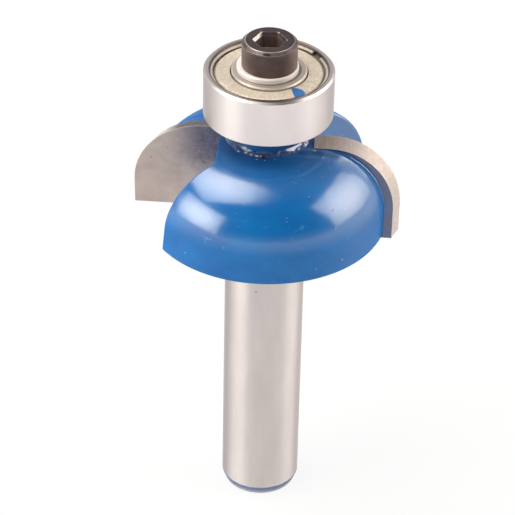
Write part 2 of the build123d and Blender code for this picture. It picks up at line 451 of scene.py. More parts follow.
tipFinish = {
    "ground": colour(196, 183, 176),
    "warm": colour(178, 163, 157),
    "heatTint": colour(122, 112, 122),      # purple-grey, near the hub
    "heatReach": (7.4, 10.2),               # it fades out between these, in mm from the axis
    "heatHeights": (37.6, 40.2),            # and comes in between these, in mm
    "spot": colour(92, 84, 92),
    "rust": colour(150, 84, 52),
    # painted highlight: the bright line along the ground edges of the tips
    "edge": colour(238, 230, 222),
    "land": colour(218, 207, 201),
    "darkLand": colour(90, 76, 76),         # on the tip on the side of -X
    "streak": colour(156, 136, 120),
    "backPaint": colour(44, 72, 122),
    "backStreak": colour(78, 92, 140),
}


def rakeColour(tree, outward, z, spots):
    # the ground face in front, with heat tint and rust near the hub
    look = tipFinish
    cloudy = useGroup(tree, grain, Stretch=(0.55, 0.55, 0.55), Detail=4.0, Contrast=2.2)
    blotch = useGroup(tree, grain, Stretch=(1.9, 1.9, 1.9), Detail=4.0, Contrast=2.0)
    rake = mixColours(tree, cloudy, look["ground"], look["warm"])
    reach = sums(tree, "ADD", outward, times(tree, blotch, 1.6))
    near = between(tree, reach, *look["heatReach"], 1.0, 0.0)
    high = between(tree, sums(tree, "ADD", z, blotch), *look["heatHeights"])
    heat = times(tree, near, high, mixValues(tree, blotch, 0.35, 0.95))
    rake = mixColours(tree, heat, rake, look["heatTint"])
    rake = mixColours(tree, times(tree, spots, 0.7), rake, look["spot"])
    rust = useGroup(tree, specks, Density=0.9, Size=0.13, Share=0.08)
    return mixColours(tree, times(tree, rust, near), rake, look["rust"])


def landColour(tree, x, outward, lines):
    # the ground sides, with streaks that are boldest near the axis
    look = tipFinish
    land = mixColours(tree, lines, look["land"], look["warm"])
    bold = useGroup(tree, grain, Stretch=(3.4, 0.25, 2.2), Detail=3.0, Contrast=3.0)
    streaks = times(tree, bold, between(tree, outward, 5.0, 7.0, 0.6, 0.15))
    land = mixColours(tree, streaks, land, look["streak"])
    dark = times(tree, between(tree, x, -10.4, -8.6), between(tree, x, -1.0, 0.0, 1.0, 0.0))
    return mixColours(tree, dark, land, look["darkLand"])


def makeCarbide():
    look = tipFinish
    material, tree, shader = newMaterial("carbide")
    x, y, z = axes(tree, placeInMillimetres(tree))
    # both tips are alike when turned half round, so the distance behind the rake face needs only |y|
    side = times(tree, sums(tree, "ABSOLUTE", y), -rakeNormal.y)
    depth = sums(tree, "SUBTRACT", rakeOffset, sums(tree, "ADD", side, times(tree, z, rakeNormal.z)))
    outward = sums(tree, "ABSOLUTE", x)
    onRake = between(tree, depth, 0.01, 0.03, 1.0, 0.0)
    onBack = between(tree, depth, tipThickness - 0.03, tipThickness - 0.01)

    landLines = useGroup(tree, grain, Stretch=(9.0, 0.9, 5.5), Detail=3.0, Contrast=1.6)
    rakeLines = useGroup(tree, grain, Stretch=(0.8, 1.0, 14.0), Detail=3.0, Contrast=1.3)
    spots = useGroup(tree, specks, Density=1.3, Size=0.15, Share=0.2)
    land = landColour(tree, x, outward, landLines)
    bare = mixColours(tree, onRake, land, rakeColour(tree, outward, z, spots))
    # painted highlight along the ground edges, the cutting edge among them
    edge = useGroup(tree, edgeWear, Width=0.09, Amount=0.95, Breakup=0.25)
    bare = mixColours(tree, edge, bare, look["edge"])
    drift = useGroup(tree, grain, Stretch=(1.2, 1.2, 1.2), Detail=3.0, Contrast=1.5)
    painted = mixColours(tree, drift, look["backPaint"], look["backStreak"])
    landRough = mixValues(tree, landLines, 0.42, 0.56)
    rakeRough = mixValues(tree, rakeLines, 0.4, 0.52)
    relief = bumpFrom(tree, mixValues(tree, onRake, landLines, rakeLines), 0.003)
    setShader(tree, shader, Base_Color=mixColours(tree, onBack, bare, painted),
              Metallic=sums(tree, "SUBTRACT", mixValues(tree, onRake, 0.35, 1.0), onBack, clamp=True),
              Roughness=mixValues(tree, onRake, landRough, rakeRough), Coat_Weight=times(tree, onBack, 0.8),
              Coat_Roughness=0.16, Coat_IOR=1.8, Normal=bumpFrom(tree, spots, 0.006, relief))
    return material


dress(["carbide_tip_1", "carbide_tip_2"], makeCarbide())
print("tips ground")


# bearing and washer: turned and ground steel

turnedFinishes = {
    # "along" and "across" are marks to the millimetre, "depth" is in mm and "levelLightAndShade" is the
    # painted light and shade of level faces
    "outerRing": {
        "nodes": ["bearing_outer_ring"],
        "base": (242, 234, 232), "shade": (222, 211, 208), "edge": (246, 240, 236),
        # painted shade on the level faces and where the ring is seen edge on
        "pitTone": (120, 112, 110), "levelLightAndShade": (166, 152, 150), "edgeOnShade": (168, 157, 155),
        "rough": (0.25, 0.33), "metal": 1.0, "turned": 0.8,
        "along": 9.0, "across": 14.0, "depth": 0.0016, "pits": 0.1, "edgeAmount": 0.8,
        # painted shadow in the groove by the shield
        "shadeRing": {"from": 5.0, "to": 5.84, "above": 49.3, "tone": (92, 82, 78)},
    },
    "innerRing": {
        "nodes": ["bearing_inner_ring"],
        "base": (216, 205, 196), "shade": (180, 166, 156), "edge": (240, 232, 224),
        "pitTone": (120, 110, 100), "levelLightAndShade": (170, 157, 148),
        "rough": (0.24, 0.36), "metal": 0.5, "turned": 0.5,
        "along": 9.0, "across": 12.0, "depth": 0.0016, "pits": 0.1, "edgeAmount": 0.7,
        # painted shadow where the washer sits on the ring
        "shadeRing": {"from": 2.8, "to": 3.12, "above": 49.9, "tone": (84, 74, 68)},
    },
    "snapWire": {
        "nodes": ["snap_wire_upper", "snap_wire_lower"],
        "base": (206, 196, 186), "shade": (160, 148, 138), "edge": (236, 230, 224),
        "pitTone": (110, 100, 92), "levelLightAndShade": (226, 216, 206),
        "rough": (0.22, 0.34), "metal": 0.5, "turned": 0.2,
        "along": 5.0, "across": 5.0, "depth": 0.001, "pits": 0.05, "edgeAmount": 0.3,
    },
    "washer": {
        "nodes": ["screw_washer"],
        "base": (250, 245, 242), "shade": (236, 228, 224), "edge": (250, 246, 242),
        "pitTone": (140, 126, 116), "levelLightAndShade": (250, 245, 242),
        "rough": (0.26, 0.4), "metal": 0.15, "turned": 0.4,
        "along": 8.0, "across": 9.0, "depth": 0.002, "pits": 0.15, "edgeAmount": 0.7,
    },
    "cage": {
        "nodes": ["cage_upper", "cage_lower"],
        "base": (186, 176, 160), "shade": (150, 138, 120), "edge": (214, 206, 194),
        "pitTone": (100, 90, 78), "levelLightAndShade": (186, 176, 160),
        "rough": (0.3, 0.45), "metal": 1.0, "turned": 0.0,
        "along": 4.0, "across": 4.0, "depth": 0.003, "pits": 0.1, "edgeAmount": 0.5,
    },
    "ball": {
        "nodes": [name for name in sorted(nodes) if name.startswith("bearing_ball")],
        "base": (228, 226, 224), "shade": (214, 211, 208), "edge": (240, 240, 240),
        "pitTone": (150, 148, 146), "levelLightAndShade": (228, 226, 224),
        "rough": (0.07, 0.12), "metal": 1.0, "turned": 0.0,
        "along": 2.0, "across": 2.0, "depth": 0.0005, "pits": 0.02, "edgeAmount": 0.0,
    },
}


def ringMask(tree, look):
    # 1 on a ring round the axis, between its two radii and above its height, in mm
    place = placeInMillimetres(tree)
    around = radiusOf(tree, place)
    ring = times(tree, between(tree, around, look["from"] - 0.03, look["from"] + 0.03),
                 between(tree, around, look["to"] - 0.05, look["to"] + 0.05, 1.0, 0.0))
    return times(tree, ring, between(tree, axes(tree, place)[2], look["above"], look["above"] + 0.1))


def makeTurned(name, look):
    material, tree, shader = newMaterial(name)
    marks = useGroup(tree, turningMarks, Across=look["across"], Along=look["along"], Seed=1.0)
    fine = useGroup(tree, turningMarks, Across=look["across"] * 3, Along=look["along"] * 3, Seed=4.0)
    cloudy = useGroup(tree, grain, Stretch=(0.35, 0.35, 0.12), Detail=3.0, Contrast=1.8)
    shade = colour(*look["shade"])
    tint = mixColours(tree, times(tree, cloudy, 0.7), colour(*look["base"]), shade)
    tint = mixColours(tree, times(tree, marks, 0.18), tint, shade)
    pits = useGroup(tree, specks, Density=1.6, Size=0.1, Share=look["pits"])
    tint = mixColours(tree, times(tree, pits, 0.6), tint, colour(*look["pitTone"]))
    upward = upwardOf(tree)
    # painted light and shade on level faces: darker on the rings, lighter on the snap wire
    level = between(tree, upward, 0.93, 0.97)
    tint = mixColours(tree, times(tree, level, 0.85), tint, colour(*look["levelLightAndShade"]))
    worn = useGroup(tree, edgeWear, Width=0.1, Amount=look["edgeAmount"], Breakup=0.3)
    tint = mixColours(tree, worn, tint, colour(*look["edge"]))
    # painted shade where the face is seen edge on
    if "edgeOnShade" in look:
        tint = mixColours(tree, between(tree, slantOf(tree), 0.26, 0.84), tint, colour(*look["edgeOnShade"]))
    # painted shadow in a groove and where the washer meets the ring
    if "shadeRing" in look:
        dark = times(tree, ringMask(tree, look["shadeRing"]), 0.85)
        tint = mixColours(tree, dark, tint, colour(*look["shadeRing"]["tone"]))
    relief = bumpFrom(tree, fine, look["depth"] * 0.5, bumpFrom(tree, marks, look["depth"]))
    slope = times(tree, between(tree, upward, 0.2, 0.4), sums(tree, "SUBTRACT", 1.0, level))
    rough = mixValues(tree, slope, mixValues(tree, fine, *look["rough"]), 0.46)
    setShader(tree, shader, Base_Color=tint, Metallic=look["metal"], Roughness=rough,
              Anisotropic=look["turned"], Anisotropic_Rotation=0.25, Normal=relief)
    if look["turned"]:
        setShader(tree, shader, Tangent=tangentRound(tree))
    return material


for name, look in turnedFinishes.items():
    dress(look["nodes"], makeTurned(name, look))


# bearing shields: matte pressed plate

shieldFinish = {
    "plate": colour(236, 226, 212),
    "shade": colour(194, 181, 160),
    "fleck": colour(140, 126, 102),
    "shoulder": (5.2, 5.28),     # the shoulder round the flat of the plate, in mm from the axis
    # painted shade on the shoulder, where the plate slopes down into the groove
    "shoulderShade": colour(116, 104, 92),
    "edge": colour(240, 234, 226),
    "rough": (0.5, 0.65),
}


def makeShield():
    look = shieldFinish
    material, tree, shader = newMaterial("shieldPlate")
    cloudy = useGroup(tree, grain, Stretch=(0.6, 0.6, 0.6), Detail=4.0, Contrast=1.8)
    mottle = useGroup(tree, grain, Stretch=(4.2, 4.2, 4.2), Detail=5.0, Contrast=3.4)
    tint = mixColours(tree, times(tree, cloudy, 0.6), look["plate"], look["shade"])
    tint = mixColours(tree, times(tree, mottle, 0.75), tint, look["shade"])
    dots = useGroup(tree, specks, Density=4.2, Size=0.26, Share=0.5)
    tint = mixColours(tree, times(tree, dots, 0.6), tint, look["fleck"])
    # painted shade on the shoulder
    slope = between(tree, radiusOf(tree, placeInMillimetres(tree)), *look["shoulder"])
    tint = mixColours(tree, times(tree, slope, 0.85), tint, look["shoulderShade"])
    worn = useGroup(tree, edgeWear, Width=0.08, Amount=0.5, Breakup=0.4)
    tint = mixColours(tree, worn, tint, look["edge"])
    setShader(tree, shader, Base_Color=tint, Metallic=0.4, Roughness=mixValues(tree, mottle, *look["rough"]),
              Normal=bumpFrom(tree, dots, 0.004, bumpFrom(tree, mottle, 0.006)))
    return material


dress(["shield_upper", "shield_lower"], makeShield())


# cap screw: worn black oxide

screwFinish = {
    "oxide": colour(64, 52, 54),
    "brown": colour(92, 78, 76),
    # painted light on the upright side of the head
    "side": colour(130, 112, 108),
    "socketLight": colour(142, 124, 121),     # painted light inside the socket
    "worn": colour(226, 214, 208),
    "gold": colour(142, 120, 96),        # smudges low on the head
    "goldHeights": (51.0, 52.4),         # they fade out between these, in mm
    "shadow": colour(50, 36, 40),
    "dot": colour(186, 172, 162),
    "rough": (0.34, 0.5),
    "bevelFoot": 53.06,                  # the bevel starts at this height, in mm
    "rimRadius": 2.38,                   # mm
    "nick": (-0.1, -2.56, 53.22),        # the middle of one dark nick in the bevel, in mm
    "nickTone": colour(34, 26, 28),
}


def wornScrew(tree, x, around, high, sloping, outside, cloudy, smudge):
    # bare metal on the edges, the bevel, the rim and the mouth of the socket; less of it on the side of +X
    # the bright rim line and the mouth's corners are partly painted highlight; the side of +X is painted
    # shade
    look = screwFinish
    band = times(tree, high, sloping, mixValues(tree, smudge, 0.16, 0.0))
    off = sums(tree, "ABSOLUTE", sums(tree, "SUBTRACT", around, look["rimRadius"]))
    rimHighlight = times(tree, between(tree, off, 0.015, 0.07, 1.0, 0.0), high)
    # the mouth is worn at its corners and along one side, partly painted highlight
    mouth = times(tree, high, sloping, sums(tree, "SUBTRACT", 1.0, outside))
    side = between(tree, x, -1.15, -0.85, 0.75, 0.0)
    corners = sums(tree, "MAXIMUM", between(tree, around, 1.55, 1.62, 0.0, 0.8), side)
    worn = useGroup(tree, edgeWear, Width=0.08, Amount=0.7, Breakup=0.6)
    worn = sums(tree, "MAXIMUM", worn, times(tree, rimHighlight, mixValues(tree, cloudy, 0.9, 0.3)))
    worn = sums(tree, "MAXIMUM", worn, times(tree, band, outside))
    worn = sums(tree, "MAXIMUM", worn, times(tree, corners, mouth))
    # painted shade: less bare metal on the side of +X
    kept = sums(tree, "MAXIMUM", between(tree, x, 0.9, 2.0, 1.0, 0.35),
                between(tree, around, 1.7, 1.8, 1.0, 0.0))
    return times(tree, worn, kept)


def nickMask(tree, place):
    off = vectorSums(tree, "SUBTRACT", place, screwFinish["nick"])
    off = vectorSums(tree, "MULTIPLY", off, (2.2, 3.0, 9.0))     # 1 / its reach along each axis, in mm
    return between(tree, vectorSums(tree, "LENGTH", off, output="Value"), 0.75, 1.0, 0.85, 0.0)


def makeScrew():
    look = screwFinish
    material, tree, shader = newMaterial("blackOxide")
    place = placeInMillimetres(tree)
    parts = axes(tree, place)
    x, height = parts[0], parts[2]
    around = radiusOf(tree, place)
    upward = upwardOf(tree)
    upright = between(tree, upward, 0.1, 0.3, 1.0, 0.0)
    sloping = between(tree, upward, 0.9, 0.97, 1.0, 0.0)
    level = between(tree, upward, 0.9, 0.97)
    high = between(tree, height, look["bevelFoot"], look["bevelFoot"] + 0.08)
    outside = between(tree, around, 1.9, 2.0)

    cloudy = useGroup(tree, grain, Stretch=(0.7, 0.7, 1.1), Detail=4.0, Contrast=2.2)
    smudge = useGroup(tree, grain, Stretch=(0.9, 0.9, 0.5), Detail=3.0, Contrast=3.0)
    tint = mixColours(tree, cloudy, look["oxide"], look["brown"])
    low = between(tree, height, *look["goldHeights"], 1.0, 0.0)
    tint = mixColours(tree, times(tree, smudge, low, 0.25), tint, look["gold"])
    # painted light: the upright side of the head lighter, most where it is seen edge on
    lit = times(tree, upright, outside, between(tree, slantOf(tree), 0.25, 0.7, 0.12, 1.0))
    tint = mixColours(tree, lit, tint, look["side"])
    top = times(tree, level, high, mixValues(tree, smudge, 0.9, 0.35))
    tint = mixColours(tree, top, tint, look["shadow"])
    # painted light inside the socket
    socketLight = sums(tree, "SUBTRACT", 1.0, sums(tree, "MAXIMUM", high, between(tree, around, 1.5, 1.6)))
    tint = mixColours(tree, socketLight, tint, look["socketLight"])
    # painted shade: the rim of the head darker on the side of +X
    shadedSide = times(tree, high, outside, between(tree, x, 0.9, 2.2), 0.6)
    tint = mixColours(tree, shadedSide, tint, look["shadow"])
    worn = wornScrew(tree, x, around, high, sloping, outside, cloudy, smudge)
    tint = mixColours(tree, worn, tint, look["worn"])
    dots = useGroup(tree, specks, Density=2.0, Size=0.12, Share=0.15)
    tint = mixColours(tree, times(tree, dots, 0.6), tint, look["dot"])
    tint = mixColours(tree, nickMask(tree, place), tint, look["nickTone"])
    marks = useGroup(tree, turningMarks, Across=9.0, Along=6.0, Seed=8.0)
    setShader(tree, shader, Base_Color=tint, Metallic=mixValues(tree, worn, 0.7, 0.5),
              Roughness=mixValues(tree, cloudy, *look["rough"]), Specular_IOR_Level=0.6,
              Normal=bumpFrom(tree, cloudy, 0.01, bumpFrom(tree, marks, 0.004)))
    return material


dress(["cap_screw"], makeScrew())
print("bearing and screw finished")


# small helpers for pieces that are added to the frame

def addObject(name, data):
    made = bpy.data.objects.new(name, data)
    bpy.context.scene.collection.objects.link(made)
    return made


def newPiece(name, points, faces, material, body):
    mesh = bpy.data.meshes.new(name)
    mesh.from_pydata([tuple(p) for p in points], [], faces)
    mesh.validate()
    mesh.materials.append(material)
    mesh.shade_smooth()
    piece = addObject(name, mesh)
    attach(piece, body)
    return piece


def surfaceOf(item):
    return BVHTree.FromPolygons([v.co for v in item.data.vertices], [p.vertices for p in item.data.polygons])


def joinRings(faces, first, rings, count):
    # four-sided faces between rings of count points each, which start at point first
    for ring in range(rings - 1):
        low = first + ring * count
        for i in range(count):
            after = (i + 1) % count
            faces.append((low + i, low + after, low + count + after, low + count + i))


def waver(seed, along, amount):
    # a smooth wobble about zero, the same each run
    return amount * noise.noise(Vector((along, seed * 7.3, seed * 1.9)))


def waverRound(angle, turns, seed):
    # the same for a ring, where it has to meet itself; more turns make it finer
    return noise.noise(Vector((math.cos(angle) * turns, math.sin(angle) * turns, seed)))


bodySurface = surfaceOf(nodes["cutter_body"])
headUnder = min(v.co.z for v in nodes["carbide_tip_1"].data.vertices)


# paint over braze, where the back of a tip meets the dome

seamBead = {
    "lift": 0.05,              # mm in front of the back of the tip
    "halfWidth": 0.2,          # mm
    "proud": 0.62,             # the share of its half width that it stands proud
    "steps": 90,
    "sides": 14,
    "arcMiddle": (5.5, 2.9),   # outward and up the tip, in mm from the axis and the underside of the head
    "wallShare": 0.22,         # the share of its length below the arc
    "sweep": 84,               # of the arc, in degrees
    "reach": 12,               # the rays that find its way start this far out, in mm
    "wobble": 0.03,            # mm
}


def seamPoint(share):
    # where the head meets a plane in front of the back of tip 1, and the way out of the head there; share
    # runs from 0 at the foot to 1 at the crown
    look = seamBead
    straight = look["wallShare"]
    up = backNormal.cross(Vector((1, 0, 0)))
    if up.z < 0:
        up = -up
    foot = backNormal * (backOffset * mm)
    foot += up * ((headUnder - foot.z) / up.z)
    middle = foot + Vector((look["arcMiddle"][0] * mm, 0, 0)) + up * (look["arcMiddle"][1] * mm)
    reach = look["reach"] * mm
    if share < straight:
        outward = Vector((1, 0, 0))
        origin = foot + up * (share / straight * look["arcMiddle"][1] * mm) + outward * (reach + middle.x)
    else:
        angle = math.radians((share - straight) / (1 - straight) * look["sweep"])
        outward = Vector((math.cos(angle), 0, 0)) + up * math.sin(angle)
        origin = middle + outward * reach
    hit = bodySurface.ray_cast(origin + backNormal * (look["lift"] * mm), -outward)[0]
    return hit, outward


def makeSeamBead(number):
    look = seamBead
    turn = Matrix.Rotation(math.pi * (number - 1), 4, "Z")
    sides = look["sides"]
    path = [seamPoint(step / (look["steps"] - 1)) for step in range(look["steps"])]
    path = [(hit, outward) for hit, outward in path if hit is not None]
    points = []
    for i, (hit, outward) in enumerate(path):
        share = i / (len(path) - 1)
        ends = min(1.0, (6 * share) ** 0.6 + 0.1, (6 * (1 - share)) ** 0.6 + 0.05)     # thin at both ends
        size = look["halfWidth"] * mm * ends + waver(number, share * 9, look["wobble"] * mm)
        for side in range(sides):
            angle = 2 * math.pi * side / sides
            swell = 1 + waver(number + 3, share * 30 + side * 0.2, 0.12)
            ring = outward * math.cos(angle) * look["proud"] + backNormal * math.sin(angle)
            points.append(turn @ (hit + ring * size * swell))
    faces = []
    joinRings(faces, 0, len(path), sides)
    faces.append(tuple(range(sides)))
    faces.append(tuple(reversed(range(len(points) - sides, len(points)))))
    return newPiece("seamBead" + str(number), points, faces, enamel, "cutter")


for number in (1, 2):
    makeSeamBead(number)
print("seam beads laid")


# paint that ran down and set in a ring round the foot of the collar

pooledPaint = {
    "inner": 3.62,       # mm, just off the collar
    "outer": 4.15,
    "ragged": 0.16,      # how far its outer edge wavers, in mm
    "climb": 0.4,        # how far it creeps up the collar, in mm
    "bulge": 0.1,        # how far it stands up halfway across, in mm
    "film": 0.03,        # the thickness under the bulge, in mm; nothing is left of it at the outer edge
    "crownRadius": 4.9,  # the height of the crown is measured here, in mm from the axis
    "around": 160,
    "across": 12,
    "tint": colour(18, 52, 104),
}


def wetPaint():
    material, tree, shader = newMaterial("wetPaint")
    ripple = useGroup(tree, grain, Stretch=(2.6, 2.6, 2.6), Detail=2.0, Contrast=2.0)
    tint = mixColours(tree, ripple, pooledPaint["tint"], enamelFinish["shadowPaint"])
    setShader(tree, shader, Base_Color=tint, Roughness=mixValues(tree, ripple, 0.25, 0.4), Coat_Weight=1.0,
              Coat_Roughness=0.05, Coat_IOR=2.0, Normal=bumpFrom(tree, ripple, 0.09))
    return material


def makePooledPaint():
    look = pooledPaint
    above = Vector((0, -look["crownRadius"] * mm, bearingFoot - 0.1 * mm))
    crown = bodySurface.ray_cast(above, Vector((0, 0, -1)))[0].z
    around, across = look["around"], look["across"]
    points = []
    for step in range(around):
        angle = 2 * math.pi * step / around
        ragged = waverRound(angle, 2.2, 4.0) + 0.5 * waverRound(angle, 6, 9.0)
        edge = look["outer"] + look["ragged"] * ragged
        climb = look["climb"] * (1 + 0.5 * waverRound(angle, 1.6, 1.0))
        for ring in range(across + 1):
            share = ring / across
            radius = look["inner"] + (edge - look["inner"]) * share
            bulge = look["bulge"] * math.sin(math.pi * share) * (0.7 + 1.2 * waverRound(angle, 5, share * 2))
            rise = climb * (1 - share) ** 2.4 + bulge + look["film"] * (1 - share ** 6)
            points.append(Vector((radius * math.cos(angle) * mm, radius * math.sin(angle) * mm,
                                  crown + rise * mm)))
    row = across + 1
    faces = []
    for step in range(around):
        here, there = step * row, (step + 1) % around * row
        for ring in range(across):
            faces.append((here + ring, here + ring + 1, there + ring + 1, there + ring))
    return newPiece("pooledPaint", points, faces, wetPaint(), "cutter")


pooled = makePooledPaint()
print("pooled paint set")


# the dab of paint on the shield

paintMark = {
    "corners": [(2.33, -2.87), (2.70, -2.76), (3.36, -3.01), (3.79, -3.70), (3.05, -4.62), (2.66, -4.14)],
    "rounding": 0.28,            # the share of each side that a rounded corner takes
    "cornerSteps": 6,
    "thickness": 0.03,           # mm
    "gap": 0.002,                # mm above the shield
    # its rings from the rim inward: their scale, and their height as a share of the thickness
    "profile": [(1.0, 0.0), (0.985, 0.6), (0.95, 0.9), (0.8, 1.0), (0.4, 1.0)],
    "tint": colour(12, 104, 176),
    "shade": colour(10, 84, 152),
}


def dabOfPaint():
    look = paintMark
    material, tree, shader = newMaterial("dabOfPaint")
    drift = useGroup(tree, grain, Stretch=(1.4, 1.4, 1.4), Detail=3.0, Contrast=2.0)
    setShader(tree, shader, Base_Color=mixColours(tree, drift, look["tint"], look["shade"]),
              Roughness=mixValues(tree, drift, 0.4, 0.55), Coat_Weight=0.2, Coat_Roughness=0.2,
              Normal=bumpFrom(tree, drift, 0.006))
    return material


def roundedOutline(corners, rounding, steps):
    outline = []
    for i, point in enumerate(corners):
        start = point.lerp(corners[i - 1], rounding)
        end = point.lerp(corners[(i + 1) % len(corners)], rounding)
        for step in range(steps):
            t = step / (steps - 1)
            outline.append(start.lerp(point, t).lerp(point.lerp(end, t), t))
    return outline


def makePaintMark():
    look = paintMark
    corners = [Vector((x, y)) for x, y in look["corners"]]
    outline = roundedOutline(corners, look["rounding"], look["cornerSteps"])
    middle = sum(outline, Vector((0, 0))) / len(outline)
    count, rings = len(outline), len(look["profile"])
    points = []
    for scale, lift in look["profile"]:
        height = shieldTop / mm + look["gap"] + look["thickness"] * lift
        for point in outline:
            place = middle + (point - middle) * scale
            points.append(Vector((place.x, place.y, height)) * mm)
    faces = []
    joinRings(faces, 0, rings, count)
    faces.append(tuple((rings - 1) * count + i for i in range(count)))
    return newPiece("paintMark", points, faces, dabOfPaint(), "outer_race")


makePaintMark()


# specks of paint, dirt and rust

flakes = {
    # x, y and z in mm near the surface, size in mm and kind; each goes to the nearest point of the head, the
    # pooled paint or a tip
    "places": [
        # the light flakes by the collar are painted glints: white lumps for highlights on the wet paint
        (-1.98, -3.05, 43.0, 0.27, "light"), (-1.5, -3.4, 42.95, 0.2, "light"),
        (-1.84, -3.5, 42.75, 0.2, "light"), (-1.3, -3.8, 42.7, 0.14, "light"),
        (-0.72, -3.95, 42.7, 0.2, "light"), (-0.34, -3.95, 42.7, 0.14, "light"),
        (-0.13, -4.1, 42.65, 0.3, "dark"), (0.3, -4.15, 42.65, 0.16, "dark"),
        (-0.7, -4.45, 42.6, 0.08, "light"), (0.05, -4.5, 42.6, 0.08, "light"),
        (1.0, -4.3, 42.6, 0.07, "light"), (4.72, -2.28, 42.6, 0.16, "light"),
        (2.58, -9.08, 41.27, 0.07, "blue"), (4.63, -8.28, 41.23, 0.13, "blue"),
        (4.74, -8.49, 41.03, 0.08, "dark"), (5.3, -8.1, 41.0, 0.07, "dark"),
        (3.71, -7.63, 41.87, 0.06, "blue"), (3.37, -5.82, 42.48, 0.08, "blue"),
        (3.1, -5.9, 42.5, 0.05, "blue"), (7.12, -7.81, 40.17, 0.06, "dark"),
        (6.96, -8.24, 39.87, 0.1, "dark"), (-1.88, -9.31, 41.21, 0.05, "dark"),
        (-0.94, -7.04, 42.4, 0.05, "blue"), (-4.62, -9.47, 40.2, 0.1, "blue"),
        (-6.17, -7.49, 41.06, 0.08, "dark"), (-3.99, -7.25, 41.98, 0.07, "dark"),
        (-4.3, -7.1, 41.95, 0.05, "dark"), (2.7, -10.4, 40.1, 0.1, "blue"),
        (2.75, -10.5, 39.75, 0.08, "blue"), (0.7, -10.9, 39.2, 0.06, "blue"),
        (-2.2, -10.2, 40.1, 0.08, "blue"), (10.9, -4.7, 37.3, 0.1, "dark"),
        (6.3, -10.2, 36.0, 0.06, "blue"), (-4.8, -10.2, 38.9, 0.08, "blue"),
        (5.1, -10.0, 39.9, 0.06, "blue"), (8.3, -8.2, 36.7, 0.1, "blue"),
        (8.6, -8.0, 36.95, 0.08, "blue"), (-0.5, -11.2, 38.3, 0.05, "blue"),
        (-5.4, 0.46, 40.23, 0.13, "rust"), (-5.3, 0.46, 40.4, 0.07, "rust"),
        (-6.36, 0.6, 38.68, 0.09, "soot"), (-6.28, 0.62, 38.5, 0.06, "soot"),
        (-7.27, 0.45, 40.36, 0.08, "grit"), (-6.97, 0.46, 40.2, 0.06, "grit"),
        (-6.72, 0.48, 40.03, 0.09, "grit"), (-7.07, 0.41, 40.82, 0.05, "grit"),
        (-6.67, 0.33, 41.65, 0.06, "grit"), (-5.78, 0.26, 42.4, 0.05, "grit"),
        (-7.58, 0.66, 38.02, 0.05, "soot"), (-8.95, 0.25, 42.5, 0.1, "grit"),
        (-0.57, -4.3, 26.47, 0.1, "dark"),
    ],
    "tints": {
        # light: the white of the painted glints
        "light": colour(226, 232, 238), "dark": colour(22, 26, 36), "blue": colour(96, 156, 208),
        "rust": colour(176, 92, 40), "soot": colour(56, 46, 56), "grit": colour(226, 222, 224),
    },
    "slots": {"rust": "carbide", "soot": "carbide", "grit": "carbide"},
    # shares of the size: height and reach of each ring of points, the height of the top, and the stretch
    "layers": [(-0.1, 1.0), (0.16, 0.82), (0.26, 0.4)],
    "top": 0.3,
    "stretch": (1.5, 0.62),
    "sides": 9,
}


def addFlake(points, faces, place, normal, size, seed):
    # a small flattened lump with a ragged outline
    look = flakes
    sides, layers = look["sides"], look["layers"]
    first = len(points)
    side = normal.cross(Vector((0, 0, 1)))
    side = side.normalized() if side.length > 0.1 else Vector((1, 0, 0))
    along = normal.cross(side)
    long, short = look["stretch"]
    for lift, reach in layers:
        for i in range(sides):
            turn = 2 * math.pi * i / sides
            far = size * reach * (0.75 + 0.5 * noise.noise(Vector((turn * 1.3, seed * 3.7, size * 9))))
            way = side * math.cos(turn) * long + along * math.sin(turn) * short
            points.append(place + way * far * mm + normal * size * lift * mm)
    points.append(place + normal * size * look["top"] * mm)
    joinRings(faces, first, len(layers), sides)
    top = len(points) - 1
    for i in range(sides):
        faces.append((top - sides + i, top - sides + (i + 1) % sides, top))


def flakeMaterial(kind):
    material, tree, shader = newMaterial("flake" + kind.capitalize())
    drift = useGroup(tree, grain, Stretch=(6.0, 6.0, 6.0), Detail=3.0, Contrast=1.5)
    tint = flakes["tints"][kind]
    shade = (*[v * 0.5 for v in tint[:3]], 1.0)
    setShader(tree, shader, Base_Color=mixColours(tree, drift, tint, shade),
              Roughness=mixValues(tree, drift, 0.3, 0.55), Coat_Weight=0.25, Coat_Roughness=0.15,
              Normal=bumpFrom(tree, drift, 0.01))
    return material


def makeFlakes():
    look = flakes
    tips = [surfaceOf(nodes[name]) for name in ("carbide_tip_1", "carbide_tip_2")]
    surfaces = [bodySurface, surfaceOf(pooled), *tips]
    made = {}
    for seed, (x, y, z, size, kind) in enumerate(look["places"]):
        place = Vector((x, y, z)) * mm
        near = [surface.find_nearest(place) for surface in surfaces]
        hit, normal = min(near, key=lambda found: found[3])[:2]
        points, faces = made.setdefault(kind, ([], []))
        addFlake(points, faces, hit, normal, size, seed)
    for kind, (points, faces) in made.items():
        newPiece("flakes" + kind.capitalize(), points, faces, flakeMaterial(kind), "cutter")


makeFlakes()
print("paint mark and flakes placed")


# floor, light and camera

floorLook = {
    "radius": 2.5,            # metres
    "sides": 64,
    "gap": 0.02,              # mm below the end of the shank
    "tone": (0.86, 0.86, 0.86, 1.0),
    "whiteShare": 0.86,       # how much of the floor's white is seen without shade
}


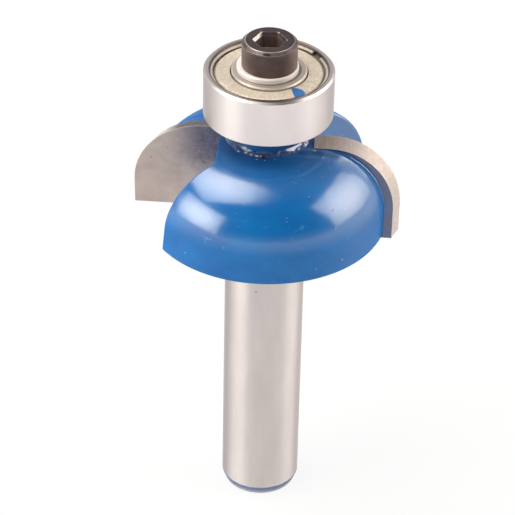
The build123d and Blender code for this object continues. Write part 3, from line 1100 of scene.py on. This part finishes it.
def makeFloor():
    look = floorLook
    count = look["sides"]
    level = cadBounds[0].z - look["gap"] * mm
    points = [Vector((0, 0, level))]
    for i in range(count):
        angle = 2 * math.pi * i / count
        points.append(Vector((math.cos(angle) * look["radius"], math.sin(angle) * look["radius"], level)))
    mesh = bpy.data.meshes.new("floor")
    mesh.from_pydata([tuple(p) for p in points], [], [(0, i + 1, (i + 1) % count + 1) for i in range(count)])
    floor = addObject("floor", mesh)
    material = bpy.data.materials.new("paleFloor")
    tree = emptyTree(material)
    matt = addNode(tree, "ShaderNodeBsdfDiffuse", {"Color": look["tone"]})
    white = addNode(tree, "ShaderNodeEmission", {"Color": (1, 1, 1, 1), "Strength": 1.0})
    path = addNode(tree, "ShaderNodeLightPath").outputs
    seen = sums(tree, "ADD", path["Is Camera Ray"], path["Is Glossy Ray"])
    seen = sums(tree, "ADD", seen, path["Is Transmission Ray"], clamp=True)
    share = times(tree, seen, look["whiteShare"])
    both = addNode(tree, "ShaderNodeMixShader", {0: share, 1: matt.outputs[0], 2: white.outputs[0]})
    addNode(tree, "ShaderNodeOutputMaterial", {"Surface": both.outputs[0]})
    mesh.materials.append(material)


makeFloor()

lighting = {
    "centre": (0, 0, 0.038),
    # brightness of the room low in front, high in front, at the sides and on the white backdrop behind
    "lowFront": 0.3,
    "front": 0.03,
    "room": 0.16,
    "backdrop": 0.95,
    # each box: where it stands, round from +Y and up, in degrees; its distance and size in metres; its turn
    # about its own middle; the share of its brightness left at the top; and the share masked off one corner
    "boxes": {
        "rightBox": {"azimuth": 87, "elevation": 25, "distance": 0.5, "width": 0.5, "height": 0.46, "spin": 0,
                     "brightness": 3.7, "tint": (1.0, 0.94, 0.86), "top": 1.0, "corner": 0.0},
        "rightStrip": {"azimuth": 42, "elevation": 25, "distance": 0.5, "width": 0.06, "height": 0.34,
                       "spin": -36, "brightness": 3.4, "tint": (1.0, 0.95, 0.92), "top": 1.0, "corner": 0.0},
        "leftLowBox": {"azimuth": -118, "elevation": 16, "distance": 0.5, "width": 0.42, "height": 0.31,
                       "spin": 0, "brightness": 4.7, "tint": (1.0, 0.97, 0.91), "top": 1.0, "corner": 0.0},
        "leftHighBox": {"azimuth": -83, "elevation": 72, "distance": 0.5, "width": 0.53, "height": 0.63,
                        "spin": 0, "brightness": 4.2, "tint": (1.0, 0.97, 0.91), "top": 0.02, "corner": 1.0},
    },
}


def boxGlow(tree, look):
    # brighter in the middle than at the rim, with its top and one corner dimmed
    place = addNode(tree, "ShaderNodeNewGeometry").outputs["Parametric"]
    across, along = axes(tree, place)[:2]
    off = vectorSums(tree, "DISTANCE", place, (0.5, 0.5, 0.0), "Value")
    glow = between(tree, off, 0.1, 0.65, 1.25, 0.5)
    glow = times(tree, glow, between(tree, along, 0.4, 0.97, 1.0, look["top"]))
    if look["corner"]:
        diagonal = sums(tree, "SUBTRACT", along, times(tree, across, 0.82))
        glow = times(tree, glow, between(tree, diagonal, 0.3, 0.44, 1.0, 1.0 - look["corner"]))
    return glow


def makeBox(name, look):
    light = bpy.data.lights.new(name, "AREA")
    light.shape = "RECTANGLE"
    light.size = look["width"]
    light.size_y = look["height"]
    light.energy = look["brightness"] * math.pi * look["width"] * look["height"]
    tree = emptyTree(light)
    lit = addNode(tree, "ShaderNodeEmission", {"Color": (*look["tint"], 1.0),
                                               "Strength": boxGlow(tree, look)})
    addNode(tree, "ShaderNodeOutputLight", {"Surface": lit.outputs[0]})
    lamp = addObject(name, light)
    azimuth, elevation = math.radians(look["azimuth"]), math.radians(look["elevation"])
    direction = Vector((math.sin(azimuth) * math.cos(elevation), math.cos(azimuth) * math.cos(elevation),
                        math.sin(elevation)))
    lamp.location = Vector(lighting["centre"]) + direction * look["distance"]
    facing = (-direction).to_track_quat("-Z", "Y").to_matrix()
    facing = facing @ Matrix.Rotation(math.radians(look["spin"]), 3, "Z")
    lamp.rotation_euler = facing.to_euler()
    lamp.visible_camera = False


def makeRoom():
    world = bpy.data.worlds.new("studio")
    bpy.context.scene.world = world
    tree = emptyTree(world)
    y, z = axes(tree, addNode(tree, "ShaderNodeTexCoord").outputs["Generated"])[1:3]
    front = between(tree, z, 0.04, 0.2, lighting["lowFront"], lighting["front"])
    level = mixValues(tree, between(tree, y, -0.5, 0.1), front, lighting["room"])
    behind = times(tree, between(tree, y, 0.3, 0.7), between(tree, z, 0.6, 0.74, 1.0, 0.0))
    level = mixValues(tree, behind, level, lighting["backdrop"])
    background = addNode(tree, "ShaderNodeBackground", {"Color": (1, 1, 1, 1), "Strength": level})
    addNode(tree, "ShaderNodeOutputWorld", {"Surface": background.outputs[0]})


for name, look in lighting["boxes"].items():
    makeBox(name, look)
makeRoom()

viewpoint = {
    # target, distance and lens in mm, angles in degrees
    "target": (-0.7297, -0.0505, 27.9338),
    "azimuth": 3.96,
    "elevation": 35.3785,
    "roll": 1.2632,
    "distance": 262.161,
    "lens": 181.652,
}


def makeCamera():
    look = viewpoint
    data = bpy.data.cameras.new("camera")
    data.sensor_width = 36.0
    data.lens = look["lens"]
    data.clip_start = 0.01
    data.clip_end = 20.0
    camera = addObject("camera", data)
    camera.matrix_world = (
        Matrix.Translation(Vector(look["target"]) * mm)
        @ Matrix.Rotation(math.radians(look["azimuth"]), 4, "Z")
        @ Matrix.Rotation(math.radians(90 - look["elevation"]), 4, "X")
        @ Matrix.Rotation(math.radians(look["roll"]), 4, "Z")
        @ Matrix.Translation((0, 0, look["distance"] * mm)))
    bpy.context.scene.camera = camera


makeCamera()
bpy.context.scene.view_settings.view_transform = "Standard"
print("floor, light and camera ready")
